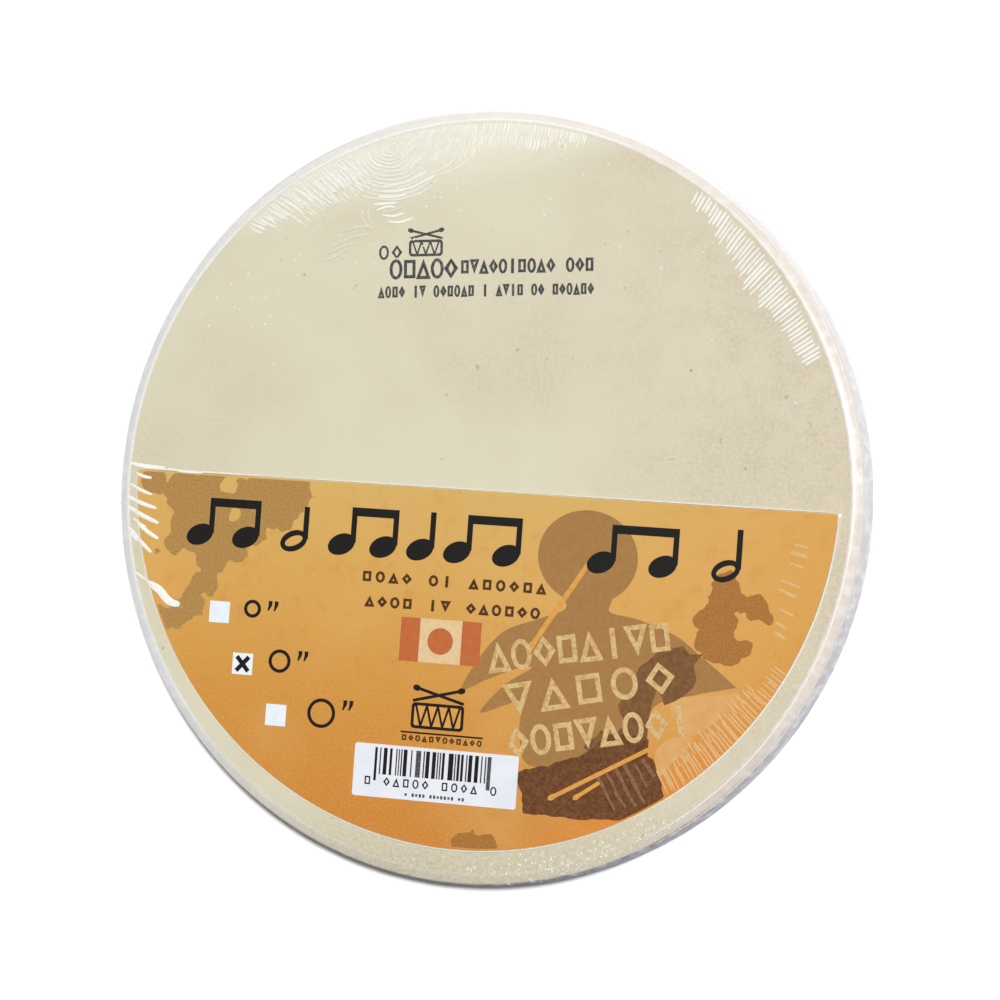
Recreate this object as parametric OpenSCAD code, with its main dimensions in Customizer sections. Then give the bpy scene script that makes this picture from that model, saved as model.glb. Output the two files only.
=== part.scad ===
// Round drum practice pad, sold shrink wrapped with a half-moon card.
// It lies on its grip sheet with the playing face up. The origin is the
// centre of the underside, +Z is up, and +X runs along the lines of print.
// All sizes are in millimetres.

/* [Board] */
// Diameter of the base board (8 in)
board_d = 203.2; // [150:0.1:260]
// Thickness of the base board (1/4 in)
board_t = 6.4; // [4:0.1:12]
// Size of the eased edges of the board
board_ease = 0.5; // [0.2:0.1:1]

/* [Playing rubber] */
// Thickness of the gum rubber (1/4 in)
rubber_t = 6.4; // [3:0.1:10]
// How far the rubber stops short of the edge of the board
rubber_inset = 0.3; // [0.1:0.1:2]
// Width of the bevel round the playing face
bevel_w = 2.5; // [1:0.1:4]
// Depth of the bevel round the playing face
bevel_drop = 1; // [0.4:0.1:2]

/* [Grip sheet] */
// Thickness of the non-slip sheet under the board
grip_t = 1.2; // [0.8:0.1:3]
// How far the sheet stops short of the edge of the board
grip_inset = 4; // [3:0.5:10]

/* [Adhesive] */
// Thickness of each adhesive layer
glue_t = 0.15; // [0.1:0.05:0.3]
// How far the adhesive stops short of the sheet that it holds
glue_inset = 1; // [0.5:0.5:3]

/* [Printed card] */
// Thickness of the card
card_t = 0.35; // [0.2:0.05:0.6]
// Radius of the round edge of the card
card_r = 95.7; // [60:0.1:95.7]
// Distance from the centre of that radius down to the straight edge
card_cut = 2; // [0:0.5:20]
// Place of the centre of that radius across the pad
card_x = -0.25; // [-0.5:0.05:0.5]
// Place of the centre of that radius up the pad
card_y = 3.4; // [0:0.1:3.4]
// Turn of the card against the lines of print, in degrees
card_turn = -3.6; // [-10:0.1:10]

/* [Stock label] */
// Width of the label
label_w = 45; // [30:0.5:48]
// Height of the label
label_h = 14; // [8:0.5:15]
// Thickness of the label
label_t = 0.15; // [0.1:0.05:0.3]
// Place of the middle of the label across the card
label_x = -6; // [-10:0.1:10]
// Place of the middle of the label, from the centre of the card radius
label_y = -77; // [-78:0.1:-40]

/* [Shrink film] */
// Thickness of the film
film_t = 0.2; // [0.15:0.05:0.4]
// Air between the film and what it wraps, on the sides
film_gap = 0.1; // [0.1:0.05:0.3]
// Width of the lapped seam on the underside
seam_w = 1.8; // [1:0.1:2.2]

/* [Hidden] */
$fn = 180;
board_r = board_d / 2;
rubber_r = board_r - rubber_inset;
grip_r = board_r - grip_inset;

// Heights of the layers, from the underside up
grip_z = film_t;
grip_glue_z = grip_z + grip_t;
board_z = grip_glue_z + glue_t;
rubber_glue_z = board_z + board_t;
rubber_z = rubber_glue_z + glue_t;
face_z = rubber_z + rubber_t;
card_z = face_z;
label_z = card_z + card_t;

// Outer end of the seam: the back film stops here
seam_r = grip_r + film_gap + seam_w;

// Non-slip sheet that the pad stands on
module grip_sheet() {
    color("dimgray")
        translate([0, 0, grip_z])
            cylinder(h = grip_t, r = grip_r);
}

// Adhesive that holds the grip sheet to the board
module grip_adhesive() {
    color("khaki")
        translate([0, 0, grip_glue_z])
            cylinder(h = glue_t, r = grip_r - glue_inset);
}

// Round board with both edges eased
module base_board() {
    color("gray")
        translate([0, 0, board_z])
            rotate_extrude()
                polygon([
                    [0, 0],
                    [board_r - board_ease, 0],
                    [board_r, board_ease],
                    [board_r, board_t - board_ease],
                    [board_r - board_ease, board_t],
                    [0, board_t]
                ]);
}

// Adhesive that holds the playing rubber to the board
module rubber_adhesive() {
    color("khaki")
        translate([0, 0, rubber_glue_z])
            cylinder(h = glue_t, r = rubber_r - glue_inset);
}

// Gum rubber disc, bevelled round its playing face
module playing_rubber() {
    color("wheat")
        translate([0, 0, rubber_z])
            rotate_extrude()
                polygon([
                    [0, 0],
                    [rubber_r, 0],
                    [rubber_r, rubber_t - bevel_drop],
                    [rubber_r - bevel_w, rubber_t],
                    [0, rubber_t]
                ]);
}

// Puts its children on the card: the origin is the centre of the card radius
module on_card(z) {
    translate([card_x, card_y, z])
        rotate([0, 0, card_turn])
            children();
}

// Half-moon block of the card, grown sideways by grow
module card_block(h, grow = 0) {
    reach = 2 * card_r;
    linear_extrude(height = h)
        intersection() {
            circle(r = card_r + grow);
            translate([-reach, grow - card_cut - reach])
                square([2 * reach, reach]);
        }
}

// Block of the stock label, grown sideways by grow
module label_block(h, grow = 0) {
    translate([label_x - label_w / 2 - grow, label_y - label_h / 2 - grow, 0])
        cube([label_w + 2 * grow, label_h + 2 * grow, h]);
}

// Printed card that lies on the lower half of the playing face
module card_insert() {
    color("orange")
        on_card(card_z)
            card_block(card_t);
}

// Paper label stuck to the card
module stock_label() {
    color("white")
        on_card(label_z)
            label_block(label_t);
}

// Unit vector that points out of the pad, square to the step from p to q
function outward(p, q) = [p[1] - q[1], q[0] - p[0]] / norm(q - p);

// Point i of path, moved out by t with its corner kept sharp
function grown_point(path, i, t) =
    let (
        before = i > 0 ? outward(path[i - 1], path[i]) : undef,
        after = i < len(path) - 1 ? outward(path[i], path[i + 1]) : undef,
        a = i > 0 ? before : after,
        b = i < len(path) - 1 ? after : before
    )
    path[i] + t * (a + b) / (1 + a * b);

// Path walked backwards, moved out by t
function grown_back(path, t) =
    [for (i = [len(path) - 1 : -1 : 0]) grown_point(path, i, t)];

// Inside of the front film, from the middle of the face to the seam
film_path = [
    [0, face_z],
    [rubber_r - bevel_w, face_z],
    [rubber_r + film_gap, face_z - bevel_drop],
    [board_r + film_gap, rubber_glue_z],
    [board_r + film_gap, board_z],
    [seam_r, 2 * film_t],
    [seam_r - seam_w, 2 * film_t]
];

// Film over the face, the card, the label and the sides, down to the seam
module film_front() {
    color("lightcyan", 0.4)
        difference() {
            union() {
                rotate_extrude()
                    polygon(concat(film_path, grown_back(film_path, film_t)));
                on_card(card_z)
                    card_block(card_t + film_t, film_gap + film_t);
                on_card(card_z)
                    label_block(card_t + label_t + film_t, film_gap + film_t);
            }
            on_card(card_z)
                card_block(card_t, film_gap);
            on_card(card_z)
                label_block(card_t + label_t, film_gap);
        }
}

// Film across the underside, lapped under the edge of the front film
module film_back() {
    color("lightcyan", 0.4)
        cylinder(h = film_t, r = seam_r);
}

grip_sheet();
grip_adhesive();
base_board();
rubber_adhesive();
playing_rubber();
card_insert();
stock_label();
film_front();
film_back();
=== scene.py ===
"""Round drum practice pad in clear shrink film, with a printed half-moon card under the film.

The pad lies on its grip sheet with the playing face up. +X runs along the lines of print.
Sizes and places below are in millimetres. Blender works in metres, so MM turns one into the other.
"""

import math
import random

import bpy
import numpy as np
from mathutils import Matrix, Vector, noise
from mathutils.geometry import delaunay_2d_cdt, tessellate_polygon


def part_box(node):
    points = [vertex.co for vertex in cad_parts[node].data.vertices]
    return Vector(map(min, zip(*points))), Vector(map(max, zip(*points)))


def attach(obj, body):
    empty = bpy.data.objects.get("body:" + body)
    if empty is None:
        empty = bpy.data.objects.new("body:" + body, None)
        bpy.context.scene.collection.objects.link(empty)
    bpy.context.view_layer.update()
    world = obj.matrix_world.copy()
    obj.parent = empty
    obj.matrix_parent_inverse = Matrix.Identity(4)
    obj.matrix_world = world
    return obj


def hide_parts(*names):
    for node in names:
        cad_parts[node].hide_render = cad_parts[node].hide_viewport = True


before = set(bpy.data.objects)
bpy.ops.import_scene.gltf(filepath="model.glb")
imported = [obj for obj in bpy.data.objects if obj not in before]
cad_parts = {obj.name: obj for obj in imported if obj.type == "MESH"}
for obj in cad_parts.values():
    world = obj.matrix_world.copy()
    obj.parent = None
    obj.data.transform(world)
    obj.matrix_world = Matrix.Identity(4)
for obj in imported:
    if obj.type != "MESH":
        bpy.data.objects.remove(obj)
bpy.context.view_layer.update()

MM = 0.001
random.seed(7)


# ------------------------------------------------------------------ sizes that come from the frame

def low_high(node):
    """Lowest and highest corner of a CAD node, in millimetres."""
    low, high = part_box(node)
    return low / MM, high / MM


GRIP_LOW, GRIP_HIGH = low_high("grip_sheet")
BOARD_LOW, BOARD_HIGH = low_high("base_board")
RUBBER_LOW, RUBBER_HIGH = low_high("playing_rubber")
CARD_LOW, CARD_HIGH = low_high("card_insert")
LABEL_LOW, LABEL_HIGH = low_high("stock_label")
WRAP_HIGH = low_high("film_front")[1]
BACK_LOW, BACK_HIGH = low_high("film_back")

GRIP_R = GRIP_HIGH.x
BOARD_R = BOARD_HIGH.x
RUBBER_R = RUBBER_HIGH.x
FACE_Z = RUBBER_HIGH.z
CARD_Z = CARD_HIGH.z
LABEL_Z = LABEL_HIGH.z
BEVEL_W = 2.5
BEVEL_DROP = 1.0

# The card's own frame: its origin is the centre of the round edge, and its X runs along the straight edge
CARD_X = -0.25
CARD_Y = 3.4
CARD_TURN = math.radians(-3.6)
CARD_R = CARD_Y - CARD_LOW.y
CARD_CUT = 2.0
CARD_PLACE = Matrix.Translation((CARD_X * MM, CARD_Y * MM, 0)) @ Matrix.Rotation(CARD_TURN, 4, "Z")

# The label, in the card's frame
LABEL_X = -6.0
LABEL_Y = -77.0
LABEL_W = 45.0
LABEL_H = 14.0


def card_to_pad(x, y):
    """A point of the card's frame, in the pad's frame."""
    c, s = math.cos(CARD_TURN), math.sin(CARD_TURN)
    return CARD_X + x * c - y * s, CARD_Y + x * s + y * c


def pad_to_card(x, y):
    """A point of the pad's frame, in the card's frame."""
    c, s = math.cos(CARD_TURN), math.sin(CARD_TURN)
    x, y = x - CARD_X, y - CARD_Y
    return x * c + y * s, y * c - x * s


# ------------------------------------------------------------------ materials

LIT = 1.11      # light that falls on the face of the pad
GLARE = 0.014   # light that the film and the surface under it reflect without colour


def rgb(r, g, b, light=1.0, glare=0.0):
    """A screen colour as the linear colour that shows it under that much light and glare."""
    def linear(v):
        v /= 255
        return v / 12.92 if v <= 0.04045 else ((v + 0.055) / 1.055) ** 2.4
    return tuple(min(max((linear(v) - glare) / light, 0.004), 0.95) for v in (r, g, b)) + (1.0,)


def shown(r, g, b):
    """The colour of a surface that shows as r, g, b under the film."""
    return rgb(r, g, b, LIT, GLARE)


class Look:
    """A Principled material whose colour, roughness and bump come from layers of procedural texture."""

    def __init__(self, name, colour, rough, **sockets):
        self.material = bpy.data.materials.new(name)
        self.material.use_nodes = True
        self.tree = self.material.node_tree
        self.shader = self.tree.nodes["Principled BSDF"]
        self.colour = colour
        self.shader.inputs["Base Color"].default_value = colour
        self.shader.inputs["Roughness"].default_value = rough
        for socket, value in sockets.items():
            self.shader.inputs[socket.replace("_", " ")].default_value = value
        self.place = self.tree.nodes.new("ShaderNodeTexCoord").outputs["Object"]

    def node(self, kind, inputs=None, **settings):
        n = self.tree.nodes.new(kind)
        for key, value in settings.items():
            setattr(n, key, value)
        for key, value in (inputs or {}).items():
            if isinstance(value, bpy.types.NodeSocket):
                self.tree.links.new(value, n.inputs[key])
            else:
                n.inputs[key].default_value = value
        return n

    def stretched(self, factors):
        """Object coordinates, scaled along each axis."""
        return self.node("ShaderNodeMapping", {"Vector": self.place, "Scale": factors}).outputs[0]

    def noise(self, size, detail=4.0, rough=0.55, stretch=None):
        """Noise whose grain is about size millimetres."""
        place = self.stretched(stretch) if stretch else self.place
        wanted = {"Vector": place, "Scale": 1 / (size * MM), "Detail": detail, "Roughness": rough}
        return self.node("ShaderNodeTexNoise", wanted).outputs["Fac"]

    def cells(self, size):
        """Distance to the nearest cell point, for cells about size millimetres across."""
        wanted = {"Vector": self.place, "Scale": 1 / (size * MM)}
        return self.node("ShaderNodeTexVoronoi", wanted).outputs["Distance"]

    def toward(self, direction, start, end):
        """0 at start and 1 at end, in millimetres along a direction of the object."""
        wanted = {0: self.place, 1: direction}
        reach = self.node("ShaderNodeVectorMath", wanted, operation="DOT_PRODUCT").outputs["Value"]
        return self.mask(reach, start * MM, end * MM)

    def ramp(self, value, *stops):
        """Colour ramp over value. Each stop is (place, colour)."""
        ramp = self.node("ShaderNodeValToRGB", {"Fac": value})
        points = ramp.color_ramp.elements
        while len(points) < len(stops):
            points.new(0.5)
        for point, (place, colour) in zip(points, stops):
            point.position = place
            point.color = colour
        return ramp.outputs["Color"]

    def mask(self, value, start, end):
        """value mapped to 0 at start and 1 at end."""
        wanted = {"Value": value, "From Min": start, "From Max": end}
        return self.node("ShaderNodeMapRange", wanted).outputs[0]

    def product(self, a, b):
        return self.node("ShaderNodeMath", {0: a, 1: b}, operation="MULTIPLY").outputs[0]

    def mix(self, share, a, b):
        """Colour a with share of b blended over it."""
        n = self.node("ShaderNodeMix", data_type="RGBA")
        for index, value in ((0, share), (6, a), (7, b)):
            if isinstance(value, bpy.types.NodeSocket):
                self.tree.links.new(value, n.inputs[index])
            else:
                n.inputs[index].default_value = value
        return n.outputs[2]

    def paint(self, colour):
        self.tree.links.new(colour, self.shader.inputs["Base Color"])
        return self

    def drive(self, socket, value, low, high):
        """The shader's socket from low to high as value goes from 0 to 1."""
        wanted = {"Value": value, "To Min": low, "To Max": high}
        self.tree.links.new(self.node("ShaderNodeMapRange", wanted).outputs[0], self.shader.inputs[socket])
        return self

    def fade(self, direction, start, end, low, high):
        """Alpha from low at start to high at end, in millimetres along a direction of the object."""
        return self.drive("Alpha", self.toward(direction, start, end), low, high)

    def finish(self, value, low, high):
        """Roughness from low to high as value goes from 0 to 1."""
        return self.drive("Roughness", value, low, high)

    def bump(self, *layers):
        """Bump from layers of (value, depth in millimetres)."""
        normal = None
        for value, depth in layers:
            wanted = {"Height": value, "Strength": 1.0, "Distance": depth * MM}
            if normal:
                wanted["Normal"] = normal
            normal = self.node("ShaderNodeBump", wanted).outputs[0]
        self.tree.links.new(normal, self.shader.inputs["Normal"])
        return self


ALONG_X = (1, 0, 0)
ALONG_Y = (0, 1, 0)


def gum_rubber():
    look = Look("gum_rubber", shown(217, 209, 184), 0.62, Specular_IOR_Level=0.35)
    # Yellower and lighter on the left, pinker and darker on the right: the hue shift is the rubber's own tone, the
    # darkening to the right is painted shade
    tone = look.ramp(
        look.toward(ALONG_X, -100, 100), (0.0, shown(219, 216, 189)), (0.55, shown(222, 219, 194)),
        (1.0, shown(215, 202, 179)))
    # Painted shade: the rubber darkens towards the bottom edge of the face
    tone = look.mix(look.toward(ALONG_Y, -76, -102), tone, shown(184, 176, 152))
    # Painted sheen: the light that the gathered film at the top scatters is painted into the rubber's colour as a pale
    # patch
    film_sheen = look.product(look.toward((-0.18, 0.98, 0), 79, 92), look.mask(look.noise(9, 4), 0.15, 0.45))
    tone = look.mix(look.mask(look.noise(38, 5), 0.45, 0.75), tone, shown(208, 199, 171))
    # Darker patches towards the right
    patches = look.mask(look.noise(7, 6, 0.65), 0.44, 0.64)
    patches = look.product(look.product(look.toward(ALONG_X, 20, 95), patches), 0.85)
    tone = look.mix(patches, tone, shown(201, 187, 165))
    grain = look.noise(0.9, 3)
    tone = look.mix(look.mask(grain, 0.35, 0.75), tone, shown(222, 215, 192))
    tone = look.mix(film_sheen, tone, shown(236, 234, 217))
    specks = look.mask(look.noise(2.6, 2), 0.74, 0.78)
    look.paint(look.mix(specks, tone, shown(188, 174, 146)))
    look.finish(grain, 0.5, 0.72)
    return look.bump((look.noise(3.5, 5), 0.05), (grain, 0.03)).material


def board_paint():
    look = Look("board_paint", rgb(112, 108, 108), 0.6, Specular_IOR_Level=0.12)
    fibre = look.noise(1.6, 6, 0.7, stretch=(1, 1, 2.5))
    tone = look.ramp(fibre, (0.35, rgb(96, 92, 92)), (0.62, rgb(126, 122, 122)))
    specks = look.mask(look.noise(0.7, 2), 0.64, 0.70)
    look.paint(look.mix(specks, tone, rgb(74, 70, 70)))
    look.finish(fibre, 0.55, 0.75)
    return look.bump((look.noise(1.1, 4), 0.05), (fibre, 0.03)).material


def grip_rubber():
    look = Look("grip_rubber", rgb(44, 43, 44), 0.8, Specular_IOR_Level=0.3)
    cells = look.cells(1.3)
    cloud = look.noise(22, 4)
    tone = look.ramp(cloud, (0.3, rgb(38, 37, 38)), (0.75, rgb(58, 56, 55)))
    pores = look.mask(cells, 0.05, 0.3)
    look.paint(look.mix(pores, rgb(24, 24, 25), tone))
    look.finish(cloud, 0.7, 0.9)
    return look.bump((cells, 0.12), (look.noise(0.5, 3), 0.04)).material


def adhesive():
    look = Look("adhesive_film", rgb(196, 180, 132), 0.35)
    web = look.noise(2.2, 4)
    look.paint(look.ramp(web, (0.3, rgb(178, 160, 112)), (0.7, rgb(210, 196, 152))))
    look.finish(web, 0.25, 0.5)
    return look.bump((web, 0.05)).material


def paper_grain(look):
    """Fine fibre of coated card, as a bump."""
    return look.bump((look.noise(0.5, 4), 0.008), (look.noise(14, 2), 0.05))


def card_print():
    look = Look("card_print", shown(213, 155, 75), 0.55, Specular_IOR_Level=0.2)
    down = look.ramp(
        look.toward(ALONG_Y, -CARD_CUT, -CARD_R), (0.0, shown(217, 179, 107)), (0.3, shown(217, 167, 90)),
        (0.62, shown(211, 149, 71)), (1.0, shown(206, 134, 60)))
    warm = look.mix(look.mask(look.noise(46, 3), 0.46, 1.0), down, shown(224, 180, 112))
    warm = look.mix(look.mask(look.toward(ALONG_X, 30, 110), 0, 1.3), warm, shown(221, 160, 80))
    wash = look.mix(look.mask(look.noise(5.5, 5, 0.65), 0.54, 1.0), warm, shown(203, 141, 66))
    burnt = look.mix(look.toward((0.62, -0.78, 0), 82, 97), wash, shown(224, 138, 58))
    screen = look.noise(0.55, 2)
    look.paint(look.mix(look.mask(screen, 0.48, 1.05), burnt, shown(226, 180, 108)))
    look.finish(look.noise(7, 4), 0.48, 0.62)
    return paper_grain(look).material


def card_core():
    look = Look("card_core", shown(238, 232, 220), 0.75)
    fibre = look.noise(0.35, 4, stretch=(1, 1, 3))
    look.paint(look.ramp(fibre, (0.3, shown(224, 216, 202)), (0.7, shown(246, 242, 232))))
    return paper_grain(look).material


def label_paper():
    look = Look("label_paper", shown(234, 238, 246), 0.6, Specular_IOR_Level=0.3)
    cloud = look.noise(6, 4)
    look.paint(look.ramp(cloud, (0.3, shown(229, 233, 243)), (0.75, shown(239, 242, 249))))
    look.finish(cloud, 0.48, 0.62)
    return paper_grain(look).material


def ink(name, base, other, grain, rough=0.55, share=(0.46, 0.6)):
    """Printing ink: base, broken up by other in grains about that many millimetres wide."""
    look = Look(name, base, rough, Specular_IOR_Level=0.2)
    patches = look.mask(look.noise(grain, 5, 0.65), *share)
    look.paint(look.mix(patches, base, other))
    look.finish(look.noise(4, 3), rough - 0.06, rough + 0.08)
    return look.bump((look.noise(0.4, 3), 0.006)).material


def clear_film(name, alpha, rough, waves):
    """Clear shrink film: a faint mirror over what it wraps, with waves of that depth in millimetres."""
    look = Look(name, (0.97, 0.98, 1.0, 1.0), rough, Metallic=1.0, Alpha=alpha)
    look.finish(look.noise(18, 3), rough, rough + 0.08)
    return look.bump((look.noise(9, 3, 0.5), waves), (look.noise(1.3, 3), waves * 0.12)).material


def film_with_painted_glare(name, direction, glare_tints, rough, waves, glare_fade):
    """Film round the rim, coloured with painted reflection and painted shade. Its three tints go across the pad
    along a direction: pale where the film would mirror the bright room, darker where it would lie in shade. glare_fade
    is where it goes from clear to carrying that painted glare, as Look.fade takes it."""
    look = Look(name, glare_tints[1], rough, Specular_IOR_Level=0.45)
    across = look.toward(direction, -100, 100)
    tint = look.ramp(across, (0.0, glare_tints[0]), (0.5, glare_tints[1]), (1.0, glare_tints[2]))
    pull = look.noise(3.0, 4, stretch=(1, 1, 0.4))
    # Painted reflection: pale streaks along the pull of the film
    look.paint(look.mix(look.mask(pull, 0.44, 0.80), tint, (0.95, 0.95, 0.95, 1.0)))
    look.finish(look.noise(11, 3), rough, rough + 0.12)
    look.fade(*glare_fade)
    return look.bump((look.noise(6, 3, 0.5), waves), (pull, waves * 0.2)).material


def crease_film_painted_glint(name, alpha, rough, tint=(0.95, 0.95, 0.91)):
    """Film that is gathered in a crease. Its pale colour is partly the scatter of the crease and partly a painted
    highlight, the glint of the fold.
    """
    full = tint + (1.0,)
    look = Look(name, full, rough, Specular_IOR_Level=0.6, Alpha=alpha)
    streak = look.noise(0.8, 3)
    look.paint(look.ramp(streak, (0.35, tuple(c * 0.92 for c in tint) + (1.0,)), (0.55, full)))
    look.finish(streak, rough, rough + 0.15)
    return look.bump((streak, 0.02)).material


GUM = gum_rubber()
BOARD = board_paint()
GRIP = grip_rubber()
ADHESIVE = adhesive()
CARD_FACE = card_print()
CARD_CORE = card_core()
LABEL_PAPER = label_paper()
INK_BLACK = ink("ink_black", rgb(10, 8, 8), rgb(20, 17, 15), 1.2)
INK_TEXT = ink("ink_dark_brown", shown(78, 54, 32), shown(100, 70, 40), 0.8)
INK_BROWN = ink("ink_splatter", shown(186, 149, 91), shown(171, 130, 74), 0.55, share=(0.40, 0.60))
INK_RUST = ink("ink_rust", shown(178, 128, 70), shown(164, 110, 54), 0.55, share=(0.40, 0.60))
INK_FIGURE = ink("ink_figure", shown(166, 124, 76), shown(173, 130, 79), 1.1, share=(0.42, 0.62))
INK_DARK = ink("ink_umber", shown(103, 66, 42), shown(126, 86, 56), 0.9, share=(0.42, 0.62))
INK_SHADE = ink("ink_shade", shown(120, 84, 54), shown(138, 100, 64), 0.9, share=(0.42, 0.62))
INK_STREAK = ink("ink_streak", shown(150, 114, 88), shown(126, 90, 64), 0.7, share=(0.40, 0.62))
INK_STICK = ink("ink_amber", shown(224, 166, 84), shown(214, 154, 74), 1.6)
INK_PEACH = ink("ink_peach", shown(223, 172, 112), shown(219, 166, 102), 3.5)
INK_CREAM = ink("ink_cream", shown(220, 192, 138), shown(198, 156, 98), 0.9, share=(0.46, 0.62))
INK_WHITE = ink("ink_white", shown(238, 246, 253), shown(232, 239, 248), 2.5)
INK_SAND = ink("ink_sand", shown(230, 203, 159), shown(225, 194, 146), 1.5)
INK_RED = ink("ink_red", shown(198, 107, 63), shown(191, 116, 69), 1.4)
INK_GREY = ink("ink_grey", shown(74, 76, 78), shown(112, 112, 106), 0.7, 0.6, share=(0.5, 0.62))
FILM_FLAT = clear_film("film_flat", 0.013, 0.10, 0.05)
FILM_UNDER = clear_film("film_under", 0.10, 0.14, 0.05)
# Painted reflection on the rim: cool grey-white on the left, cream in the middle, pinkish on the right, faded out
# towards the bottom where the rim is in shade
FILM_RIM_GLARE = film_with_painted_glare(
    "film_rim_painted_glare", ALONG_X, (rgb(232, 235, 238), rgb(246, 242, 234), rgb(230, 219, 210)), 0.25, 0.05,
    glare_fade=(ALONG_Y, -92, -50, 0.10, 0.72))
# Painted shade and reflection on the side: darker lavender-grey towards the bottom, paler towards the top, and nearly
# opaque on the right, where this painted glare stands in for the edges of rubber and board
FILM_SIDE_GLARE = film_with_painted_glare(
    "film_side_painted_glare", ALONG_Y, (rgb(150, 151, 172), rgb(214, 210, 217), rgb(250, 246, 243)), 0.3, 0.04,
    glare_fade=((0.9, 0.43, 0), -50, 40, 0.05, 0.92))
# Painted highlights: each crease tint stands for the glint of the folds; the warm one takes the orange of the card
# under it, the side one the lavender of the painted glare on the side
CREASE_FAINT = crease_film_painted_glint("film_crease_faint", 0.80, 0.3, (0.78, 0.76, 0.66))
CREASE_FINE = crease_film_painted_glint("film_crease_fine", 0.85, 0.25, (0.87, 0.87, 0.79))
CREASE_SIDE = crease_film_painted_glint("film_crease_side", 0.32, 0.3, (0.82, 0.82, 0.87))
CREASE_BOLD = crease_film_painted_glint("film_crease_bold", 0.85, 0.22)
CREASE_WARM = crease_film_painted_glint("film_crease_warm", 0.5, 0.3, (0.90, 0.62, 0.27))


# ------------------------------------------------------------------ mesh helpers

def piece(name, points, faces, material, slot, card=False, smooth=0.0):
    """A mesh from points in millimetres that rides on the pad. card puts it in the card's frame.
    smooth is the angle in degrees below which the faces are shaded round."""
    mesh = bpy.data.meshes.new(name)
    mesh.from_pydata([Vector(p) * MM for p in points], [], faces)
    mesh.validate()
    materials = material if isinstance(material, list) else [material]
    for m in materials:
        mesh.materials.append(m)
    obj = bpy.data.objects.new(name, mesh)
    bpy.context.scene.collection.objects.link(obj)
    if smooth:
        mesh.shade_smooth()
        mesh.set_sharp_from_angle(angle=math.radians(smooth))
    if card:
        obj.matrix_world = CARD_PLACE
    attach(obj, "root")
    return obj


def rounded(corners, steps=5):
    """A path of (across, up) whose corners are rounded. Each corner is (across, up, radius)."""
    path = []
    for i, (x, y, radius) in enumerate(corners):
        here = Vector((x, y))
        if radius == 0 or i in (0, len(corners) - 1):
            path.append(here)
            continue
        before = Vector(corners[i - 1][:2]) - here
        after = Vector(corners[i + 1][:2]) - here
        half = before.angle(after) / 2
        reach = min(radius / math.tan(half), 0.49 * before.length, 0.49 * after.length)
        start = here + before.normalized() * reach
        end = here + after.normalized() * reach
        for k in range(steps + 1):
            t = k / steps
            path.append(start * (1 - t) ** 2 + here * 2 * t * (1 - t) + end * t ** 2)
    return [(p.x, p.y) for p in path]


def lathe(path, steps, wobble=None):
    """Points and faces of a path of (radius, height) turned about Z, which starts and ends on the axis.
    wobble(angle, index) gives (out, up), added to each point."""
    points = [(0, 0, path[0][1])]
    rings = path[1:-1]
    for index, (r, z) in enumerate(rings):
        for k in range(steps):
            a = 2 * math.pi * k / steps
            out, up = wobble(a, index) if wobble else (0, 0)
            points.append(((r + out) * math.cos(a), (r + out) * math.sin(a), z + up))
    points.append((0, 0, path[-1][1]))
    faces = []
    for k in range(steps):
        n = (k + 1) % steps
        faces.append((0, 1 + k, 1 + n))
        for j in range(len(rings) - 1):
            a, b = 1 + j * steps, 1 + (j + 1) * steps
            faces.append((a + k, b + k, b + n, a + n))
        a = 1 + (len(rings) - 1) * steps
        faces.append((a + k, len(points) - 1, a + n))
    return points, faces


def plate(points, faces, z0, z1):
    """Points and faces of a flat patch, thickened from z0 up to z1 and closed round its edges."""
    n = len(points)
    solid = [(x, y, z1) for x, y in points] + [(x, y, z0) for x, y in points]
    count = {}
    for face in faces:
        for a, b in zip(face, face[1:] + face[:1]):
            count[(a, b)] = count.get((a, b), 0) + 1
    sides = [(b, a, a + n, b + n) for a, b in count if (b, a) not in count]
    return solid, [tuple(f) for f in faces] + [tuple(i + n for i in reversed(f)) for f in faces] + sides


def filled(outer, holes=()):
    """Points and triangles of an outline with holes, all facing up."""
    loops = [outer, *holes]
    points = [p for loop in loops for p in loop]
    faces = []
    for a, b, c in tessellate_polygon([[Vector((x, y, 0)) for x, y in loop] for loop in loops]):
        pa, pb, pc = points[a], points[b], points[c]
        turn = (pb[0] - pa[0]) * (pc[1] - pa[1]) - (pb[1] - pa[1]) * (pc[0] - pa[0])
        if abs(turn) > 1e-9:
            faces.append((a, b, c) if turn > 0 else (a, c, b))
    return points, faces


def ellipse(x, y, rx, ry, turn=0.0, steps=40):
    c, s = math.cos(turn), math.sin(turn)
    loop = []
    for k in range(steps):
        a = 2 * math.pi * k / steps
        u, v = rx * math.cos(a), ry * math.sin(a)
        loop.append((x + u * c - v * s, y + u * s + v * c))
    return loop


def diamond(rx, ry):
    """Outline of a diamond centred on 0, 0."""
    return [(0, ry), (-rx, 0), (0, -ry), (rx, 0)]


def bar(ax, ay, bx, by, width):
    """Outline of a straight bar of that width, from a to b."""
    along = Vector((bx - ax, by - ay)).normalized()
    sx, sy = -along.y * width / 2, along.x * width / 2
    return [(ax - sx, ay - sy), (bx - sx, by - sy), (bx + sx, by + sy), (ax + sx, ay + sy)]


def block(x, y, w, h, radius=0.0):
    """Outline of a rectangle centred on x, y, with rounded corners."""
    if not radius:
        return [(x + sx * w / 2, y + sy * h / 2) for sx, sy in ((-1, -1), (1, -1), (1, 1), (-1, 1))]
    steps = 4
    loop = []
    for corner, (sx, sy) in enumerate(((1, 1), (-1, 1), (-1, -1), (1, -1))):
        cx, cy = x + sx * (w / 2 - radius), y + sy * (h / 2 - radius)
        for k in range(steps + 1):
            a = math.pi / 2 * (corner + k / steps)
            loop.append((cx + radius * math.cos(a), cy + radius * math.sin(a)))
    return loop


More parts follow.
